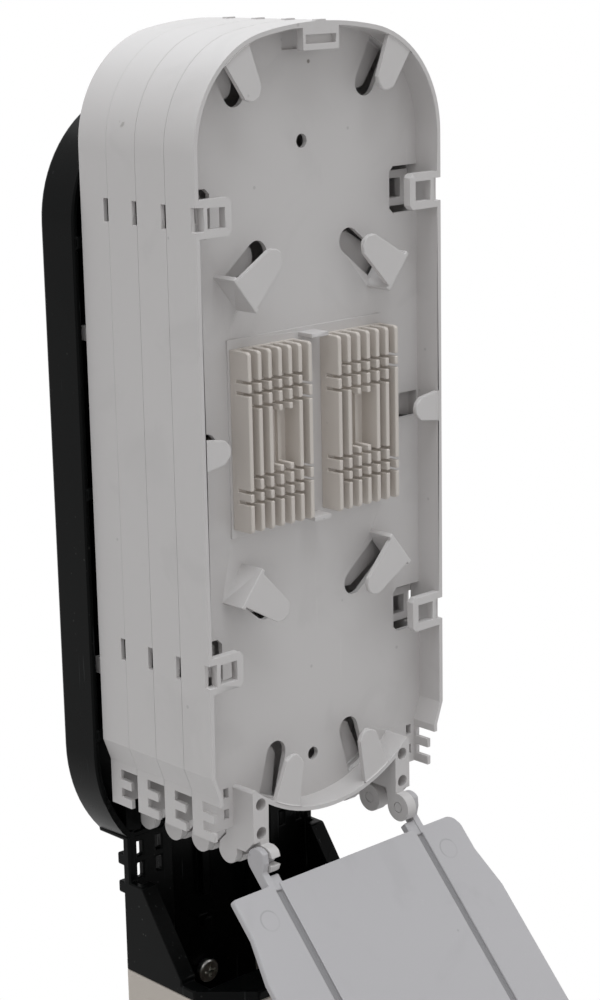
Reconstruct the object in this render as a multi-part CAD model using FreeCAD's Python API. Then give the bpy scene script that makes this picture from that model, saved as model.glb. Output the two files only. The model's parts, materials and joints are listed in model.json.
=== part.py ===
import FreeCAD, Part
import math
import os

# Fibre splice closure with its dome taken off: four hinged splice trays on a black carrier,
# the front tray's lid swung open, and the base with its sealed cable ports.
# Millimetres, +Z up, origin at the middle of the base's footprint on the ground.
# The trays open towards -Y. Tray sizes are given from the rim plane (depth, towards +Y)
# and from the hinge axis (height).

# Tray outline
tray_width = 92.0
crown_height = 231.2
crown_radius = 110.0
corner_radius = 31.0
tray_wall = 1.3
tray_pitch = 12.1
tray_gap = 0.12
tray_count = 4
floor_depth = 8.5
floor_thickness = 1.5
waist_inset = 2.5
waist_low = 21.5
waist_high = 28.3
tray_bottom = 8.1

# Curved lip at the tray's fibre entry
lip_low = 8.0
lip_end_height = 20.0

# Comb for cable ties at the end of each side wall
wall_end = 19.3
comb_spine = 4.5
comb_prong_reach = 4.6
prong_height = 2.7
prong_tops = (16.3, 10.8)

# Hinge blocks and snap hinges
block_inner = 25.6
block_outer = 31.4
block_foot = 5.0
hinge_forward = 0.8
knuckle_radius = 3.9
knuckle_thickness = 2.2
knuckle_side_gap = 0.3
knuckle_room = 0.5
plate_low = 1.6
pin_radius = 1.6
pin_flat = 1.1
pin_clearance = 0.05
socket_mouth = 2.3
socket_shoulder = 1.2
socket_corner = 1.7
pin_end_gap = 0.3
socket_web = 6.3

# Clip loops at the rim, with the rim notches and floor windows that go with them
loop_heights = (182.3, 57.7)
loop_half_height = 5.1
loop_bar = 2.3
loop_wall_bar = 2.8
loop_reach = 12.5
loop_depth = 2.4
loop_corner = 1.2
notch_half_height = 3.2
notch_depth = 1.9
notch_reach = 2.8
window_half_height = 6.7
window_reach = 12.2
window_corner = 1.5
catch_half_width = 6.6
catch_reach = 7.6
catch_side = 1.0
catch_bar = 1.7
catch_pocket_height = 2.4
catch_pocket_depth = 1.6
nib_half_width = 1.8
nib_height = 0.4
nib_depth = 1.6

# Fibre fingers at the rim, each with a slot below it in the floor
finger_thickness = 1.4
finger_set_back = 0.2
finger_tip_width = 6.6
finger_tip_flat = 2.8
finger_tip_bevel = 2.2
slot_clearance = 0.4
stub_thickness = 1.4
stub_width = 12.6
top_finger_width = 10.0
top_finger_root_x = 30.6
top_finger_root_drop = 6.2
top_finger_tip_x = 23.5
top_finger_tip_drop = 19.6
floor_finger_width = 10.4
floor_finger_root_x = 28.2
floor_finger_root = 41.2
floor_finger_tip_x = 16.0
floor_finger_tip = 51.0
side_finger_width = 9.0
side_finger_root_x = 45.4
side_finger_tip_x = 35.6
side_finger_drop = 0.6
lip_finger_width = 10.4
lip_finger_root_x = 18.4
lip_finger_root = 11.5
lip_finger_tip_x = 14.0
lip_finger_tip = 27.3

# Feet and the splice pad
foot_reach = 4.6
foot_width = 2.0
foot_wall_gap = 0.5
foot_heights = ((144.5, 148.7), (47.0, 52.0))
pad_thickness = 0.6
pad_half_width = 29.4
pad_margin = 2.6
ledge_half_width = 3.2
ledge_set_back = 2.4
ledge_thickness = 1.2
ledge_gap = 0.3

# Splice holders
holder_length = 50.4
holder_middle = 119.9
holder_inner = 5.0
holder_base = 1.2
fin_count = 7
fin_pitch = 3.74
fin_thickness = 1.3
fin_set_back = 0.4
slit_width = 0.8
slit_floor = 5.6
slit_start = 8.0
slit_stagger = (0.0, 3.2, 0.0, 3.2, 0.0, 0.0, 3.2)
open_fins = (3, 4)
open_fin_end = 17.6

# Lid, drawn shut and then swung open about its hinge
lid_opening = 137.5
lid_thickness = 2.0
lid_rise = 0.27
lid_start = 7.8
lid_overhang = 1.6
lid_waist_inset = 2.6
lid_waist_low = 20.0
lid_waist_high = 33.0
lid_edge_corner = 2.6
groove_x = 28.5
groove_width = 2.4
groove_depth = 1.2
groove_end = 205.0
stop_start = 5.0
stop_low = 3.4
stop_high = 0.9

# Carrier basket, neck and foot, with heights from the hinge axis and depths from the rim
carrier_half_width = 48.2
carrier_front = 49.6
carrier_depth = 17.0
carrier_wall = 2.0
carrier_top = 213.5
carrier_crown_radius = 130.0
carrier_corner = 36.0
carrier_low_radius = 44.0
carrier_low_centre = 23.1
carrier_edge_bevel = 3.0
peg_heights = (172.4, 101.0, 29.0)
peg_height = 3.2
peg_width = 3.0
peg_rim_step = 1.0
peg_root = 2.0
peg_gap = 0.6
neck_half_width = 37.2
neck_wall = 2.2
neck_side_depth = 0.6
neck_lip = 4.5
channel_half_width = 22.0
channel_depth = 10.3
ledge_drop = 1.2
foot_top = -45.7
foot_thickness = 3.1
foot_rim = 5.0
foot_front_rim = 12.0
gusset_top = -20.1
gusset_top_depth = 6.0
gusset_front = 27.2
gusset_toe = 1.4
gusset_flange = 5.5
tooth_reach = 2.6
tooth_height = 3.8
tooth_heights = (-13.4, -22.4)
tie_slot_width = 2.2
tie_slot_height = 4.6
tie_slot_columns = (25.2, 32.4)
tie_slot_rows = (-10.4, -17.4)
neck_rib_width = 3.4
neck_rib_depth = 2.6
neck_rib_low = -38.0
tail_low = -76.0

# Screw through the carrier's tail
screw_height = -64.0
screw_radius = 2.0
screw_length = 4.8
screw_head_radius = 3.8
screw_head_height = 2.6

# Base with its socket, dome seat and closed ports, heights from the ground
hinge_height = 240.0
socket_front = 8.0
socket_back = 66.0
socket_wall = 2.6
socket_upright_corner = 13.5
socket_floor = 8.0
boss_half_width = 5.0
base_middle = 34.5
flange_half_width = 62.0
flange_half_depth = 48.0
flange_corner = 20.0
flange_top = 115.0
flange_thickness = 14.0
spigot_set_in = 9.0
spigot_corner = 16.0
spigot_height = 12.0
seal_width = 3.0
seal_height = 3.4
seal_clearance = 0.2
port_radius = 11.0
port_offset_x = 34.0
port_offset_y = 27.0
looped_half_width = 26.0
looped_half_depth = 11.0
looped_corner = 7.0

# How far a cutter runs past the face that it opens
past = 1.0

# Worked-out values
half_width = tray_width / 2
tray_depth = tray_pitch - tray_gap
floor_back = floor_depth + floor_thickness
pad_front = floor_depth - pad_thickness
stack_depth = tray_pitch * tray_count
waist_half_width = half_width - waist_inset
knuckle_inner = block_outer - knuckle_thickness
socket_outer = knuckle_inner - knuckle_side_gap
front_axis = -hinge_forward
stack_axis = stack_depth - hinge_forward
rear_axis = tray_pitch - hinge_forward
carrier_back = carrier_front + carrier_depth
carrier_low_x = carrier_half_width - carrier_low_radius
carrier_low_angle = math.acos((neck_half_width - carrier_low_x) / carrier_low_radius)
carrier_bottom = carrier_low_centre - carrier_low_radius * math.sin(carrier_low_angle)
neck_front = carrier_front + neck_side_depth
neck_rear = neck_front + neck_wall
channel_front = neck_front + channel_depth
channel_rear = channel_front + neck_wall
foot_bottom = foot_top - foot_thickness
lip_sagitta = lip_end_height - lip_low
lip_radius = (block_outer**2 + lip_sagitta**2) / (2 * lip_sagitta)
crown_rows = (crown_height - top_finger_root_drop, crown_height - top_finger_tip_drop)
above_rows = (holder_middle + floor_finger_root, holder_middle + floor_finger_tip)
below_rows = (holder_middle - floor_finger_root, holder_middle - floor_finger_tip)
side_row = holder_middle - side_finger_drop
vector = FreeCAD.Vector
to_row = vector(0, -base_middle, hinge_height)


def box(x, y, z):
    """A block from its lower and upper limits along each axis."""
    block = Part.makeBox(x[1] - x[0], y[1] - y[0], z[1] - z[0])
    block.translate(vector(x[0], y[0], z[0]))
    return block


def mirrored(shape):
    """The same shape on the other side of the middle plane."""
    return shape.mirror(vector(0, 0, 0), vector(1, 0, 0))


def both_sides(shape):
    return [shape, mirrored(shape)]


def join(shapes):
    first, *others = shapes
    return first.multiFuse(others).removeSplitter()


def drawn(steps):
    """A closed flat wire: a point is a straight run, a pair of points is an arc through the first."""
    start = steps[0]
    here = start
    edges = []
    for step in steps[1:] + [start]:
        if isinstance(step, tuple):
            middle, end = step
            edges.append(Part.Arc(here, middle, end).toShape())
        else:
            end = step
            edges.append(Part.LineSegment(here, end).toShape())
        here = end
    return Part.Face(Part.Wire(edges))


def front_plate(steps, front, back):
    """An outline drawn in X and Z, given as points or arcs, and its two depths."""
    face = drawn([raised(step, lambda x, z: vector(x, front, z)) for step in steps])
    return face.extrude(vector(0, back - front, 0))


def side_plate(steps, left, right):
    """An outline drawn in depth and height, and its two places across."""
    face = drawn([raised(step, lambda y, z: vector(left, y, z)) for step in steps])
    return face.extrude(vector(right - left, 0, 0))


def raised(step, place):
    """A flat point, or a pair of them, put into space."""
    if isinstance(step[0], tuple):
        return tuple(place(*point) for point in step)
    return place(*step)


def cross_rod(radius, left, right, depth, height):
    return Part.makeCylinder(radius, right - left, vector(left, depth, height), vector(1, 0, 0))


def depth_rod(radius, front, back, x, height):
    return Part.makeCylinder(radius, back - front, vector(x, front, height), vector(0, 1, 0))


def crown(half, top, crown_r, corner_r):
    """The arched top, from the right side to the left: two corner arcs and the crown between them."""
    centre = top - crown_r
    corner_x = half - corner_r
    corner_z = centre + math.sqrt((crown_r - corner_r) ** 2 - corner_x**2)
    lean = math.atan2(corner_x, corner_z - centre)
    join_x = crown_r * math.sin(lean)
    join_z = centre + crown_r * math.cos(lean)
    middle_angle = (lean + math.pi / 2) / 2
    middle_x = corner_x + corner_r * math.sin(middle_angle)
    middle_z = corner_z + corner_r * math.cos(middle_angle)
    return [
        (half, corner_z),
        ((middle_x, middle_z), (join_x, join_z)),
        ((0, top), (-join_x, join_z)),
        ((-middle_x, middle_z), (-half, corner_z)),
    ]


def tray_arch(inset):
    return crown(half_width - inset, crown_height - inset, crown_radius - inset, corner_radius - inset)


def tray_outline(inset, bottom):
    """The side walls' line with its narrow waist, closed straight across at the bottom."""
    waist = waist_half_width - inset
    side = half_width - inset
    right = [(waist, bottom), (waist, waist_low), (side, waist_high)]
    left = [(-side, waist_high), (-waist, waist_low), (-waist, bottom)]
    return right + tray_arch(inset) + left


def tray_walls():
    outer = front_plate(tray_outline(0, tray_bottom), 0, tray_depth)
    inner = front_plate(tray_outline(tray_wall, tray_bottom - past), -past, tray_depth + past)
    spine_front = tray_depth - comb_spine
    prong_front = spine_front - comb_prong_reach
    reach = (waist_half_width - 2 * tray_wall, half_width + past)
    cuts = [box(reach, (-past, prong_front), (tray_bottom - past, wall_end))]
    upper_ends = (wall_end,) + tuple(top - prong_height for top in prong_tops[:-1])
    for upper, lower in zip(upper_ends, prong_tops):
        cuts.append(box(reach, (prong_front - past, spine_front), (lower, upper)))
    under_prongs = (tray_bottom - past, prong_tops[-1] - prong_height)
    cuts.append(box(reach, (-past, spine_front), under_prongs))
    for height in loop_heights:
        notch = (height - notch_half_height, height + notch_half_height)
        cuts.append(box((half_width - 2 * tray_wall, half_width + past), (-past, notch_depth), notch))
    return outer.cut([inner] + [side for cut in cuts for side in both_sides(cut)])


def lip_arc(inset):
    """The curved lip's line from left to right, as its end points and lowest point."""
    radius = lip_radius - inset
    centre = lip_low + lip_radius
    half_angle = math.asin(block_outer / lip_radius)
    end_x = radius * math.sin(half_angle)
    end_z = centre - radius * math.cos(half_angle)
    return (-end_x, end_z), (0, lip_low + inset), (end_x, end_z)


def tray_floor():
    start, lowest, end = lip_arc(0)
    edge = [(-block_outer, tray_bottom), start, (lowest, end), (block_outer, tray_bottom)]
    return front_plate(edge + tray_outline(0, tray_bottom), floor_depth, floor_back)


def tray_lip():
    start, lowest, end = lip_arc(0)
    inner_start, inner_lowest, inner_end = lip_arc(tray_wall)
    return front_plate([start, (lowest, end), inner_end, (inner_lowest, inner_start)], 0, floor_back)


def hinge_block():
    """The block under the lip's right end: a knuckle and pin at the rear, a snap socket in front."""
    top = lip_end_height
    core = box((block_inner, block_outer), (0, floor_back), (block_foot, top))
    lug = socket_lug(front_axis, [(0, knuckle_radius), (0, top), (socket_web, top)])
    above_lip = tray_region(tray_wall, -past, floor_depth)
    return join([core, knuckle_plate(), hinge_pin(rear_axis), lug]).cut(above_lip)


def knuckle_plate():
    """The block's outer plate: a round tongue at the rear hinge axis, cut clear of the front one."""
    swing = (knuckle_radius + knuckle_room) * math.sqrt(2) - hinge_forward
    slant = knuckle_radius * math.sqrt(0.5)
    rear_top = 2 * slant - (tray_depth - rear_axis)
    outline = [
        (0, lip_end_height),
        (tray_depth, lip_end_height),
        (tray_depth, rear_top),
        (rear_axis + slant, slant),
        ((rear_axis + slant, -slant), (rear_axis - knuckle_radius, 0)),
        (rear_axis - knuckle_radius, plate_low),
        (swing - plate_low, plate_low),
        (0, swing),
    ]
    return side_plate(outline, knuckle_inner, block_outer)


def hinge_pin(axis):
    """A pin with two flats, so that it passes the socket's mouth only when turned."""
    pin = cross_rod(pin_radius, block_inner + pin_end_gap, knuckle_inner, axis, 0)
    flats = box((block_inner, knuckle_inner), (axis - pin_flat, axis + pin_flat), (-pin_radius, pin_radius))
    return pin.common(flats)


def socket_lug(axis, web):
    """A lug round a hinge axis that a pin snaps into from the front, carried by a web behind it."""
    reach = knuckle_radius
    short = knuckle_radius - socket_corner
    lug = [
        (axis + reach, -short),
        (axis + short, -reach),
        (axis - short, -reach),
        (axis - reach, -short),
        (axis - reach, short),
        (axis - short, reach),
    ]
    seat = pin_radius + pin_clearance
    across = (block_inner - past, socket_outer + past)
    bore = cross_rod(seat, *across, axis, 0)
    throat = box(across, (axis - socket_shoulder, axis), (-seat, seat))
    mouth = box(across, (axis - reach - past, axis), (-socket_mouth / 2, socket_mouth / 2))
    return side_plate(lug + web, block_inner, socket_outer).cut([bore, throat, mouth])


def rim_loop(height):
    """A clip loop on the right-hand wall, open through its middle."""
    inner = half_width - loop_reach
    low = height - loop_half_height
    high = height + loop_half_height
    outline = [
        (half_width, low),
        (half_width, high),
        (inner + loop_corner, high),
        (inner, high - loop_corner),
        (inner, low + loop_corner),
        (inner + loop_corner, low),
    ]
    whole = front_plate(outline, 0, loop_depth)
    wall_side = half_width - tray_wall
    inside = (low + loop_bar, high - loop_bar)
    depths = (-past, loop_depth + past)
    window = box((inner + loop_bar, wall_side - loop_wall_bar), depths, inside)
    notch = (height - notch_half_height, height + notch_half_height)
    return whole.cut([window, box((half_width - notch_reach, half_width + past), depths, notch)])


def floor_window(height):
    """The window under a right-hand loop, with its inner corners drawn in."""
    inner = half_width - window_reach
    outer = half_width - tray_wall
    low = height - window_half_height
    high = height + window_half_height
    outline = [
        (outer, low),
        (outer, high),
        (inner + window_corner, high),
        (inner, high - window_corner),
        (inner, low + window_corner),
        (inner + window_corner, low),
    ]
    return front_plate(outline, floor_depth - past, floor_back + past)


def top_catch():
    """The catch with its pocket under the middle of the crown, and the nib above it."""
    low = crown_height - catch_reach
    under_wall = crown_height - tray_wall / 2
    catch = box((-catch_half_width, catch_half_width), (0, loop_depth), (low, under_wall))
    inside = catch_half_width - catch_side
    pocket_low = low + catch_bar
    pocket_heights = (pocket_low, pocket_low + catch_pocket_height)
    pocket = box((-inside, inside), (-past, catch_pocket_depth), pocket_heights)
    nib_low = crown_height - tray_wall
    nib = box((-nib_half_width, nib_half_width), (0, nib_depth), (nib_low, crown_height + nib_height))
    return [catch.cut(pocket), nib]


def catch_window():
    limits = (crown_height - catch_reach, crown_height - 2 * tray_wall)
    return box((-catch_half_width, catch_half_width), (floor_depth - past, floor_back + past), limits)


def finger_outline(root, tip, root_width, spread):
    """A tapered tongue with a blunt tip, drawn from its root; spread widens it all round."""
    run_x = tip[0] - root[0]
    run_z = tip[1] - root[1]
    length = math.hypot(run_x, run_z)
    along = (run_x / length, run_z / length)
    across = (-along[1], along[0])
    tip_half = finger_tip_width / 2 + spread
    root_half = root_width / 2 + spread
    flat_half = finger_tip_flat / 2

    def at(run, side):
        return (root[0] + along[0] * run + across[0] * side, root[1] + along[1] * run + across[1] * side)

    end = length + spread
    shoulder = end - finger_tip_bevel
    return [
        at(0, -root_half),
        at(shoulder, -tip_half),
        at(end, -flat_half),
        at(end, flat_half),
        at(shoulder, tip_half),
        at(0, root_half),
    ]


def finger(root, tip, root_width):
    outline = finger_outline(root, tip, root_width, 0)
    return front_plate(outline, finger_set_back, finger_set_back + finger_thickness)


def finger_stub(root, tip):
    """The upright plate on the floor that carries a finger away from the walls."""
    stub = box((-stub_thickness, 0), (finger_set_back, floor_back), (-stub_width / 2, stub_width / 2))
    lean = math.degrees(math.atan2(tip[1] - root[1], tip[0] - root[0]))
    stub.rotate(vector(0, 0, 0), vector(0, -1, 0), lean)
    stub.translate(vector(root[0], 0, root[1]))
    return stub


def finger_slot(root, tip):
    outline = finger_outline(root, tip, finger_tip_width, slot_clearance)
    return front_plate(outline, floor_depth - past, floor_back + past)


def finger_set():
    """The right-hand fingers from the crown down, and the slots that go with them in the floor."""
    placed = [
        ((top_finger_root_x, crown_rows[0]), (top_finger_tip_x, crown_rows[1]), top_finger_width),
        ((floor_finger_root_x, above_rows[0]), (floor_finger_tip_x, above_rows[1]), floor_finger_width),
        ((side_finger_root_x, side_row), (side_finger_tip_x, side_row), side_finger_width),
        ((floor_finger_root_x, below_rows[0]), (floor_finger_tip_x, below_rows[1]), floor_finger_width),
        ((lip_finger_root_x, lip_finger_root), (lip_finger_tip_x, lip_finger_tip), lip_finger_width),
    ]
    tongues = [finger(root, tip, width) for root, tip, width in placed]
    for root, tip, width in placed:
        if root[0] == floor_finger_root_x:
            tongues.append(finger_stub(root, tip))
    slots = [finger_slot(root, tip) for root, tip, width in placed]
    return tongues, slots


def tray_region(inset, front, back):
    """The space within the walls and above the lip, drawn in by an inset."""
    start, lowest, end = lip_arc(inset)
    return front_plate([start, (lowest, end)] + tray_outline(inset, tray_bottom), front, back)


def splice_pad():
    """The low pad that the two splice holders sit on, and the ledges past their ends."""
    half_length = holder_length / 2 + pad_margin
    limits = (holder_middle - half_length, holder_middle + half_length)
    pad = box((-pad_half_width, pad_half_width), (pad_front, floor_back), limits)
    near = holder_length / 2 + ledge_gap
    far = near + ledge_thickness
    across = (-ledge_half_width, ledge_half_width)
    upper = box(across, (ledge_set_back, pad_front), (holder_middle + near, holder_middle + far))
    lower = box(across, (ledge_set_back, pad_front), (holder_middle - far, holder_middle - near))
    return [pad, upper, lower]


def rear_foot(limits):
    outer = half_width - tray_wall - foot_wall_gap
    return box((outer - foot_width, outer), (floor_depth, tray_depth + foot_reach), limits)


def tray():
    """One moulded tray, at the place of the front tray."""
    pieces = [tray_walls(), tray_floor(), tray_lip()] + top_catch() + splice_pad()
    pieces += both_sides(hinge_block())
    for height in loop_heights:
        pieces += both_sides(rim_loop(height))
    for limits in foot_heights:
        pieces += both_sides(rear_foot(limits))
    tongues, slots = finger_set()
    reach = tray_region(tray_wall / 2, 0, floor_back)
    pieces += [reach.common(side) for tongue in tongues for side in both_sides(tongue)]
    inside = tray_region(tray_wall + slot_clearance, floor_depth - past, floor_back + past)
    cuts = [catch_window()]
    cuts += [inside.common(side) for slot in slots for side in both_sides(slot)]
    for height in loop_heights:
        cuts += both_sides(floor_window(height))
    body = pieces[1].cut(cuts)
    return join([body, pieces[0]] + pieces[2:])


def fin(stagger, open_middle):
    """One fin of a holder, slit from its front edge, as an outline in depth and height."""
    half = holder_length / 2
    back = pad_front - holder_base
    slit = slit_start + stagger - half
    gaps = [(slit, slit + slit_width)]
    if open_middle:
        window_start = open_fin_end - half
        gaps.append((window_start, -window_start))
    gaps.append((-slit - slit_width, -slit))
    steps = [(back, -half), (fin_set_back, -half)]
    for low, high in gaps:
        steps += [(fin_set_back, low), (slit_floor, low), (slit_floor, high), (fin_set_back, high)]
    steps += [(fin_set_back, half), (back, half)]
    return side_plate([(y, z + holder_middle) for y, z in steps], 0, fin_thickness)


def splice_holder():
    """The left-hand holder: a base with a comb of fins for the splice sleeves."""
    width = (fin_count - 1) * fin_pitch + fin_thickness
    half = holder_length / 2
    limits = (holder_middle - half, holder_middle + half)
    outer = -holder_inner - width
    pieces = [box((outer, -holder_inner), (pad_front - holder_base, pad_front), limits)]
    for index, stagger in enumerate(slit_stagger):
        each = fin(stagger, index in open_fins)
        each.translate(vector(outer + index * fin_pitch, 0, 0))
        pieces.append(each)
    return join(pieces)


def turned_holder():
    """The same holder on the right-hand side, turned half round."""
    holder = splice_holder()
    holder.rotate(vector(0, 0, holder_middle), vector(0, 1, 0), 180)
    return holder


def lid_panel():
    side = half_width + lid_overhang
    waist = side - lid_waist_inset
    low = lid_start
    right = [
        (waist - lid_edge_corner, low),
        (waist, low + lid_edge_corner),
        (waist, lid_waist_low),
        (side, lid_waist_high),
    ]
    left = [
        (-side, lid_waist_high),
        (-waist, lid_waist_low),
        (-waist, low + lid_edge_corner),
        (-waist + lid_edge_corner, low),
    ]
    back = front_axis - lid_rise
    panel = front_plate(right + tray_arch(-lid_overhang) + left, back - lid_thickness, back)
    half_groove = groove_width / 2
    groove = box(
        (groove_x - half_groove, groove_x + half_groove),
        (back - groove_depth, back + past),
        (lid_start - past, groove_end),
    )
    return panel.cut(both_sides(groove))


def lid_arm():
    """The right-hand arm with its knuckle, pin and the stub that stops the swing."""
    back = front_axis - lid_rise
    front = front_axis - knuckle_radius
    overlap = lid_start + lid_thickness
    outline = [
        (front, 0),
        ((front_axis, -knuckle_radius), (front_axis + knuckle_radius, 0)),
        (front_axis + knuckle_radius - socket_corner, knuckle_radius - socket_corner),
        (back, knuckle_radius),
        (back, overlap),
        (front, overlap),
    ]
    arm = side_plate(outline, knuckle_inner, block_outer)
    stop_depths = (front_axis - stop_low, front_axis - stop_high)
    stop = box((block_inner, block_outer), stop_depths, (stop_start, overlap))
    return join([arm, hinge_pin(front_axis), stop])


def lid():
    """The lid, swung open to its stop."""
    shape = join([lid_panel()] + both_sides(lid_arm()))
    shape.rotate(vector(0, front_axis, 0), vector(1, 0, 0), lid_opening)
    return shape


def basket_outline(inset):
    """Straight sides under an arched top, drawn in by a wide arc to the neck at the bottom."""
    side = carrier_half_width - inset
    radius = carrier_low_radius - inset

    def low_point(angle):
        return (carrier_low_x + radius * math.cos(angle), carrier_low_centre - radius * math.sin(angle))

    end_x, end_z = low_point(carrier_low_angle)
    middle_x, middle_z = low_point(carrier_low_angle / 2)
    right = [(end_x, end_z), ((middle_x, middle_z), (side, carrier_low_centre))]
    left = [(-side, carrier_low_centre), ((-middle_x, middle_z), (-end_x, end_z))]
    arch = crown(side, carrier_top - inset, carrier_crown_radius - inset, carrier_corner - inset)
    return right + arch + left


def basket():
    """The rounded tub behind the trays, open to the front and into the neck."""
    tub = front_plate(basket_outline(0), carrier_front, carrier_back)
    rear_edges = [edge for edge in tub.Edges if edge.BoundBox.YMin > carrier_back - carrier_wall]
    tub = tub.makeChamfer(carrier_edge_bevel, rear_edges)
    hollow = front_plate(basket_outline(carrier_wall), carrier_front - past, carrier_back - carrier_wall)
    return tub.cut(hollow)


def carrier_peg(height):
    """A small peg on the tub's rim that the rear tray rests against."""
    half = peg_height / 2
    outer = carrier_half_width - peg_rim_step
    tip = stack_depth - tray_gap + peg_gap
    return box((outer - peg_width, outer), (tip, carrier_front + peg_root), (height - half, height + half))


def gusset():
    """The right-hand web between neck and foot, with its flange along the slope."""
    outer = neck_half_width
    top_front = neck_front - gusset_top_depth
    toe = foot_top + gusset_toe
    web = side_plate(
        [
            (neck_rear, gusset_top),
            (top_front, gusset_top),
            (gusset_front, toe),
            (gusset_front, foot_top),
            (neck_rear, foot_top),
        ],
        outer - neck_wall,
        outer,
    )
    slope = math.hypot(top_front - gusset_front, gusset_top - toe)
    inward = neck_wall * slope / (gusset_top - toe)
    flange = side_plate(
        [
            (top_front + inward, gusset_top),
            (top_front, gusset_top),
            (gusset_front, toe),
            (gusset_front, foot_top),
            (gusset_front + inward, foot_top),
            (gusset_front + inward, toe),
        ],
        outer - gusset_flange,
        outer,
    )
    return join([web, flange])


def socket_block(inset, low, high):
    """The outline of the base's socket, which the carrier's foot shares, between two heights."""
    half_y = (socket_back - socket_front) / 2 - inset
    corner = socket_upright_corner - inset * (2 - math.sqrt(2))
    block = bevelled_block(neck_half_width - inset, half_y, corner, low, high)
    block.translate(vector(0, (socket_front + socket_back) / 2, 0))
    return block


def foot_frame():
    """The frame that rests on the base's socket, open in the middle for the cables."""
    inside = neck_half_width - foot_rim
    heights = (foot_bottom - past, foot_top + past)
    way = box((-inside, inside), (socket_front + foot_front_rim, neck_front), heights)
    return socket_block(0, foot_bottom, foot_top).cut(way)


def neck():
    """The neck's plates: two flanges with side walls, and a deeper channel between them."""
    top = carrier_bottom + carrier_wall
    heights = (foot_top, top)
    outer = neck_half_width
    side_wall = box((outer - neck_wall, outer), (carrier_front, neck_rear), heights)
    flange = box((channel_half_width - neck_wall, outer), (neck_front, neck_rear), (foot_top, neck_lip))
    step = box((channel_half_width - neck_wall, channel_half_width), (neck_front, channel_rear), heights)
    plate = box((-channel_half_width, channel_half_width), (channel_front, channel_rear), (tail_low, top))
    ledge_depths = (neck_front, carrier_back - carrier_edge_bevel)
    ledge = box((-outer, outer), ledge_depths, (carrier_bottom - ledge_drop, top))
    half_rib = neck_rib_width / 2
    rib = box((-half_rib, half_rib), (channel_front - neck_rib_depth, channel_front), (neck_rib_low, top))
    sided = [side_wall, flange, step]
    return [plate, ledge, rib] + [side for each in sided for side in both_sides(each)]


def cable_channel():
    """The way up through the foot and the neck into the tub."""
    inside = channel_half_width - neck_wall
    front = carrier_front - past
    heights = (foot_bottom - past, 0)
    before_rib = box((-inside, inside), (front, channel_front - neck_rib_depth), heights)
    beside_rib = box((neck_rib_width / 2, inside), (front, channel_front), heights)
    return [before_rib] + both_sides(beside_rib)


def carrier():
    """One black moulding: the tub, the neck, the foot and the first tray's sockets."""
    sided = [gusset(), socket_lug_on_neck()]
    for height in tooth_heights:
        limits = (height - tooth_height / 2, height + tooth_height / 2)
        across = (neck_half_width - neck_wall, neck_half_width)
        sided.append(box(across, (neck_rear, neck_rear + tooth_reach), limits))
    sided += [carrier_peg(height) for height in peg_heights]
    pieces = [basket(), foot_frame()] + neck()
    pieces += [side for each in sided for side in both_sides(each)]
    cuts = cable_channel() + both_sides(knuckle_notch())
    screw_hole = screw_radius + pin_clearance
    cuts.append(depth_rod(screw_hole, channel_front - past, channel_rear + past, 0, screw_height))
    for column in tie_slot_columns:
        for row in tie_slot_rows:
            across = (column - tie_slot_width / 2, column + tie_slot_width / 2)
            upright = (row - tie_slot_height / 2, row + tie_slot_height / 2)
            cuts += both_sides(box(across, (neck_front - past, neck_rear + past), upright))
    return join(pieces).cut(cuts)


def knuckle_notch():
    """The room that the rear tray's knuckle needs in the neck's flange."""
    across = (socket_outer, block_outer + knuckle_side_gap)
    heights = (-knuckle_radius - knuckle_room, neck_lip + past)
    return box(across, (neck_front - past, neck_rear + past), heights)


def socket_lug_on_neck():
    """The first tray's snap socket, on an arm from the neck's flange."""
    web = [
        (stack_axis, knuckle_radius),
        (neck_rear, knuckle_radius),
        (neck_rear, socket_corner - knuckle_radius),
    ]
    return socket_lug(stack_axis, web)


def carrier_screw():
    """A pan-head screw, driven from the front into the base's boss."""
    head = depth_rod(screw_head_radius, channel_front - screw_head_height, channel_front, 0, screw_height)
    shank = depth_rod(screw_radius, channel_front, channel_front + screw_length, 0, screw_height)
    return join([head, shank])


def bevelled_block(half_x, half_y, corner, low, high):
    """A block about the base's middle with its upright corners bevelled."""
    block = box((-half_x, half_x), (-half_y, half_y), (low, high))
    uprights = [edge for edge in block.Edges if edge.BoundBox.ZLength > (high - low) / 2]
    return block.makeChamfer(corner, uprights)


def socket():
    """The hollow socket that the carrier's foot stands on, with a boss for its screw."""
    shell = socket_block(0, flange_top - hinge_height, foot_bottom).cut(socket_hollow())
    heights = (screw_height - boss_half_width, screw_height + boss_half_width)
    boss = box((-boss_half_width, boss_half_width), (channel_rear, socket_back - socket_wall), heights)
    pilot = depth_rod(screw_radius, channel_rear - past, channel_front + screw_length, 0, screw_height)
    return place(shell.fuse(boss).cut(pilot), 0)


def socket_hollow():
    return socket_block(socket_wall, flange_top + socket_floor - hinge_height, foot_top)


def dome_seat():
    """The flange that the dome clamps to, with the seal's groove, and the spigot that it slips over."""
    flange_low = flange_top - flange_thickness
    flange = bevelled_block(flange_half_width, flange_half_depth, flange_corner, flange_low, flange_top)
    groove_floor = flange_top - seal_height - seal_clearance
    groove_spread = seal_width + 2 * seal_clearance
    groove_top = flange_top + past
    groove = spigot(groove_spread, groove_floor, groove_top).cut(spigot(0, groove_floor, groove_top))
    seat = spigot(0, flange_top, flange_top + spigot_height).cut(place(socket_hollow(), 0))
    return [flange.cut(groove), seat]


def spigot(spread, low, high):
    half_x = flange_half_width - spigot_set_in + spread
    half_y = flange_half_depth - spigot_set_in + spread
    return bevelled_block(half_x, half_y, spigot_corner, low, high)


def port(x, y):
    """A cable port as supplied, still closed at its end."""
    return Part.makeCylinder(port_radius, flange_top - flange_thickness, vector(x, y, 0))


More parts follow.
